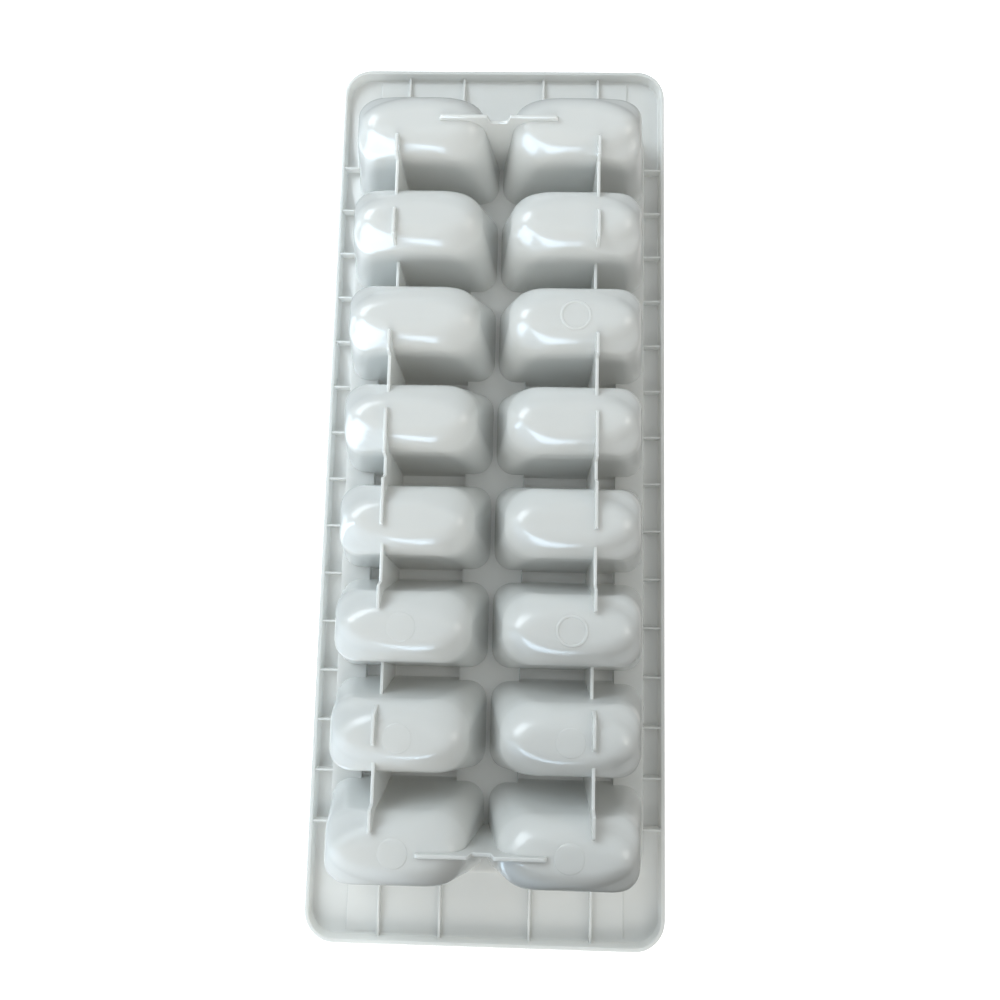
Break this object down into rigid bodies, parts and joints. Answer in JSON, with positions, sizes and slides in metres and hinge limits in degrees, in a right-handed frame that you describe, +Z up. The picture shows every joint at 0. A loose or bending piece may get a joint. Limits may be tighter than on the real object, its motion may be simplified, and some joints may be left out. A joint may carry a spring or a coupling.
{
  "type": "ice cube tray",
  "caption": "One-piece moulded tray with rounded, tapered pockets sunk below a wide rim, and stiffening ribs and standing feet underneath.",
  "frame": {"origin": "under the middle of the tray, on the level of its feet", "axes": "+X along the length, +Y across, +Z up out of the open pockets"},
  "size_m": [0.305, 0.1176, 0.04],
  "materials": {
    "polypropylene": "satin natural white, slightly translucent"
  },
  "bodies": {
    "root": {"tray": "polypropylene"}
  },
  "joints": []
}
